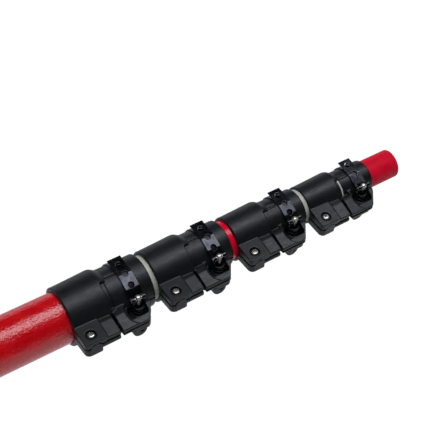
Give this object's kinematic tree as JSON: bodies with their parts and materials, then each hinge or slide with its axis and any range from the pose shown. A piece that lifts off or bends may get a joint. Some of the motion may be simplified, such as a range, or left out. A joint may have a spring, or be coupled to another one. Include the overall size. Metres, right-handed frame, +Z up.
{
  "type": "boom pole",
  "caption": "Telescopic fibreglass boom pole of nested red and pale tubes, joined by black lever clamps with perforated steel straps, rubber butt cap and threaded tip.",
  "frame": {"origin": "centre of the butt cap's end face, on the pole axis", "axes": "+X along the pole axis from the butt to the tip, +Z up, the clamps' lugs towards -Y"},
  "size_m": [1.1503, 0.0784, 0.0648],
  "materials": {
    "red_fibreglass_gloss": "gloss pultruded fibreglass, fibres showing",
    "pale_fibreglass": "satin natural fibreglass",
    "red_fibreglass": "satin fibreglass",
    "red_fibreglass_matt": "matt mottled fibreglass",
    "black_nylon": "satin moulded glass-filled nylon",
    "black_rubber": "matt rubber",
    "white_nylon": "natural nylon",
    "strap_steel": "cold-rolled strip",
    "bright_steel": "zinc plated",
    "insert_alloy": "turned"
  },
  "bodies": {
    "section_1": {"butt_cap": "black_rubber", "butt_bumper": "black_rubber", "tube_1": "red_fibreglass_gloss", "clamp_1_body": "black_nylon", "clamp_1_screw": "bright_steel", "clamp_1_nut": "bright_steel", "clamp_1_anchor_strap": "strap_steel", "clamp_1_saddle": "bright_steel"},
    "tension_1": {"clamp_1_strap": "strap_steel", "clamp_1_cross_pin": "bright_steel", "clamp_1_tension_bolt": "bright_steel"},
    "lever_1": {"clamp_1_lever": "black_nylon", "clamp_1_lever_pin": "bright_steel"},
    "guide_2": {"guide_ring_2": "white_nylon"},
    "section_2": {"tube_2": "pale_fibreglass", "clamp_2_body": "black_nylon", "clamp_2_screw": "bright_steel", "clamp_2_nut": "bright_steel", "clamp_2_anchor_strap": "strap_steel", "clamp_2_saddle": "bright_steel"},
    "tension_2": {"clamp_2_strap": "strap_steel", "clamp_2_cross_pin": "bright_steel", "clamp_2_tension_bolt": "bright_steel"},
    "lever_2": {"clamp_2_lever": "black_nylon", "clamp_2_lever_pin": "bright_steel"},
    "guide_3": {"guide_ring_3": "white_nylon"},
    "section_3": {"tube_3": "red_fibreglass", "clamp_3_body": "black_nylon", "clamp_3_screw": "bright_steel", "clamp_3_nut": "bright_steel", "clamp_3_anchor_strap": "strap_steel", "clamp_3_saddle": "bright_steel"},
    "tension_3": {"clamp_3_strap": "strap_steel", "clamp_3_cross_pin": "bright_steel", "clamp_3_tension_bolt": "bright_steel"},
    "lever_3": {"clamp_3_lever": "black_nylon", "clamp_3_lever_pin": "bright_steel"},
    "guide_4": {"guide_ring_4": "white_nylon"},
    "section_4": {"tube_4": "pale_fibreglass", "clamp_4_body": "black_nylon", "clamp_4_screw": "bright_steel", "clamp_4_nut": "bright_steel", "clamp_4_anchor_strap": "strap_steel", "clamp_4_saddle": "bright_steel"},
    "tension_4": {"clamp_4_strap": "strap_steel", "clamp_4_cross_pin": "bright_steel", "clamp_4_tension_bolt": "bright_steel"},
    "lever_4": {"clamp_4_lever": "black_nylon", "clamp_4_lever_pin": "bright_steel"},
    "guide_5": {"guide_ring_5": "white_nylon"},
    "section_5": {"tube_5": "red_fibreglass_matt", "tip_insert": "insert_alloy"}
  },
  "joints": [
    {"name": "clamp_1_tension", "type": "slide", "parent": "section_1", "child": "tension_1", "axis": [0, 0, 1], "range_m": [0, 0.0016]},
    {"name": "clamp_1_lever", "type": "hinge", "parent": "tension_1", "child": "lever_1", "pos_m": [0.8281, -0.0296, -0.0245], "axis": [0, -1, 0], "range_deg": [0, 120]},
    {"name": "section_2_slide", "type": "slide", "parent": "section_1", "child": "guide_2", "axis": [1, 0, 0], "range_m": [-0.0045, 0.6]},
    {"name": "section_2_turn", "type": "hinge", "parent": "guide_2", "child": "section_2", "pos_m": [0.02, 0, 0], "axis": [1, 0, 0], "continuous": true},
    {"name": "clamp_2_tension", "type": "slide", "parent": "section_2", "child": "tension_2", "axis": [0, 0, 1], "range_m": [0, 0.0016]},
    {"name": "clamp_2_lever", "type": "hinge", "parent": "tension_2", "child": "lever_2", "pos_m": [0.9178, -0.0266, -0.0245], "axis": [0, -1, 0], "range_deg": [0, 120]},
    {"name": "section_3_slide", "type": "slide", "parent": "section_2", "child": "guide_3", "axis": [1, 0, 0], "range_m": [-0.0058, 0.65]},
    {"name": "section_3_turn", "type": "hinge", "parent": "guide_3", "child": "section_3", "pos_m": [0.026, 0, 0], "axis": [1, 0, 0], "continuous": true},
    {"name": "clamp_3_tension", "type": "slide", "parent": "section_3", "child": "tension_3", "axis": [0, -0.0523, 0.9986], "range_m": [0, 0.0016]},
    {"name": "clamp_3_lever", "type": "hinge", "parent": "tension_3", "child": "lever_3", "pos_m": [1.0079, -0.02228, -0.0257], "axis": [0, -0.9986, -0.0523], "range_deg": [0, 120]},
    {"name": "section_4_slide", "type": "slide", "parent": "section_3", "child": "guide_4", "axis": [1, 0, 0], "range_m": [-0.0042, 0.7]},
    {"name": "section_4_turn", "type": "hinge", "parent": "guide_4", "child": "section_4", "pos_m": [0.032, 0, 0], "axis": [1, 0, 0], "continuous": true},
    {"name": "clamp_4_tension", "type": "slide", "parent": "section_4", "child": "tension_4", "axis": [0, -0.1219, 0.9925], "range_m": [0, 0.0016]},
    {"name": "clamp_4_lever", "type": "hinge", "parent": "tension_4", "child": "lever_4", "pos_m": [1.0958, -0.01746, -0.02683], "axis": [0, -0.9925, -0.1219], "range_deg": [0, 120]},
    {"name": "section_5_slide", "type": "slide", "parent": "section_4", "child": "guide_5", "axis": [1, 0, 0], "range_m": [-0.01, 0.75]},
    {"name": "section_5_turn", "type": "hinge", "parent": "guide_5", "child": "section_5", "pos_m": [0.038, 0, 0], "axis": [1, 0, 0], "continuous": true}
  ],
  "couplings": [
    {"joint": "clamp_1_tension", "follows": "clamp_1_lever", "m_per_rad": 0.00075},
    {"joint": "clamp_2_tension", "follows": "clamp_2_lever", "m_per_rad": 0.00075},
    {"joint": "clamp_3_tension", "follows": "clamp_3_lever", "m_per_rad": 0.00075},
    {"joint": "clamp_4_tension", "follows": "clamp_4_lever", "m_per_rad": 0.00075}
  ]
}
